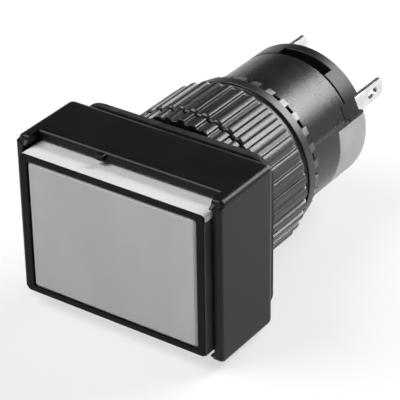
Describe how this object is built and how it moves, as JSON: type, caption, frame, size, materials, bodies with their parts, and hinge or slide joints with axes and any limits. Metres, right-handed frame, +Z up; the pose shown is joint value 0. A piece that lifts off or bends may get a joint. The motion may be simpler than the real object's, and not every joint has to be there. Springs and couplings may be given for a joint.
{
  "type": "panel-mount LED indicator light",
  "caption": "Panel-mount indicator with a rectangular lit display, threaded round barrel, ribbed mounting ring, plug-in LED lamp and two solder tabs.",
  "frame": {"origin": "on the barrel's axis in the rear face of the head, where the head seats on the panel", "axes": "+Y along the barrel towards the terminals, -Y is the lit front, +Z up, +X to the right seen from the front"},
  "size_m": [0.024, 0.0414, 0.019],
  "materials": {
    "black_plastic": "satin moulded black",
    "ring_plastic": "satin moulded black",
    "socket_plastic": "satin moulded dark grey",
    "base_plastic": "matte moulded dark grey",
    "latch_plastic": "matte moulded light grey",
    "holder_plastic": "satin moulded white",
    "guide_acrylic": "milky translucent",
    "lens_acrylic": "milky translucent grey, unlit",
    "seal_rubber": "soft matte black",
    "circuit_board": "green laminate",
    "resistor_body": "lacquered ceramic",
    "diode_body": "moulded black",
    "led_epoxy": "clear cast epoxy",
    "tin_plate": "tin-plated stamping",
    "spring_bronze": "bright spring bronze"
  },
  "bodies": {
    "case": {"case": "black_plastic", "panel_gasket": "seal_rubber", "display_seal": "seal_rubber"},
    "display": {"display_lens": "lens_acrylic", "display_frame": "black_plastic", "legend_plate": "guide_acrylic", "light_guide": "guide_acrylic", "display_holder": "holder_plastic"},
    "lock_ring": {"lock_ring": "ring_plastic"},
    "mounting_ring": {"mounting_ring": "ring_plastic"},
    "socket": {"socket_body": "socket_plastic", "terminal_base": "base_plastic", "side_latch_right": "latch_plastic", "side_latch_left": "latch_plastic", "terminal_right": "tin_plate", "terminal_left": "tin_plate", "contact_right": "spring_bronze", "contact_left": "spring_bronze", "lamp_pin_right": "tin_plate", "lamp_pin_left": "tin_plate", "lamp_cup": "holder_plastic", "lamp_board": "circuit_board", "lamp_led": "led_epoxy", "lamp_reflector": "holder_plastic", "lamp_resistor": "resistor_body", "lamp_diode": "diode_body"}
  },
  "joints": [
    {"name": "display_pull", "type": "slide", "parent": "case", "child": "display", "axis": [0, -1, 0], "range_m": [0, 0.008]},
    {"name": "lock_ring_slide", "type": "slide", "parent": "case", "child": "lock_ring", "axis": [0, 1, 0], "range_m": [0, 0.009]},
    {"name": "mounting_ring_turn", "type": "hinge", "parent": "lock_ring", "child": "mounting_ring", "pos_m": [0, 0, 0], "axis": [0, 1, 0], "range_deg": [0, 3241]},
    {"name": "socket_pull", "type": "slide", "parent": "case", "child": "socket", "axis": [0, 1, 0], "range_m": [0, 0.02]}
  ],
  "couplings": [
    {"joint": "mounting_ring_turn", "follows": "lock_ring_slide", "rad_per_m": 6283.2}
  ]
}
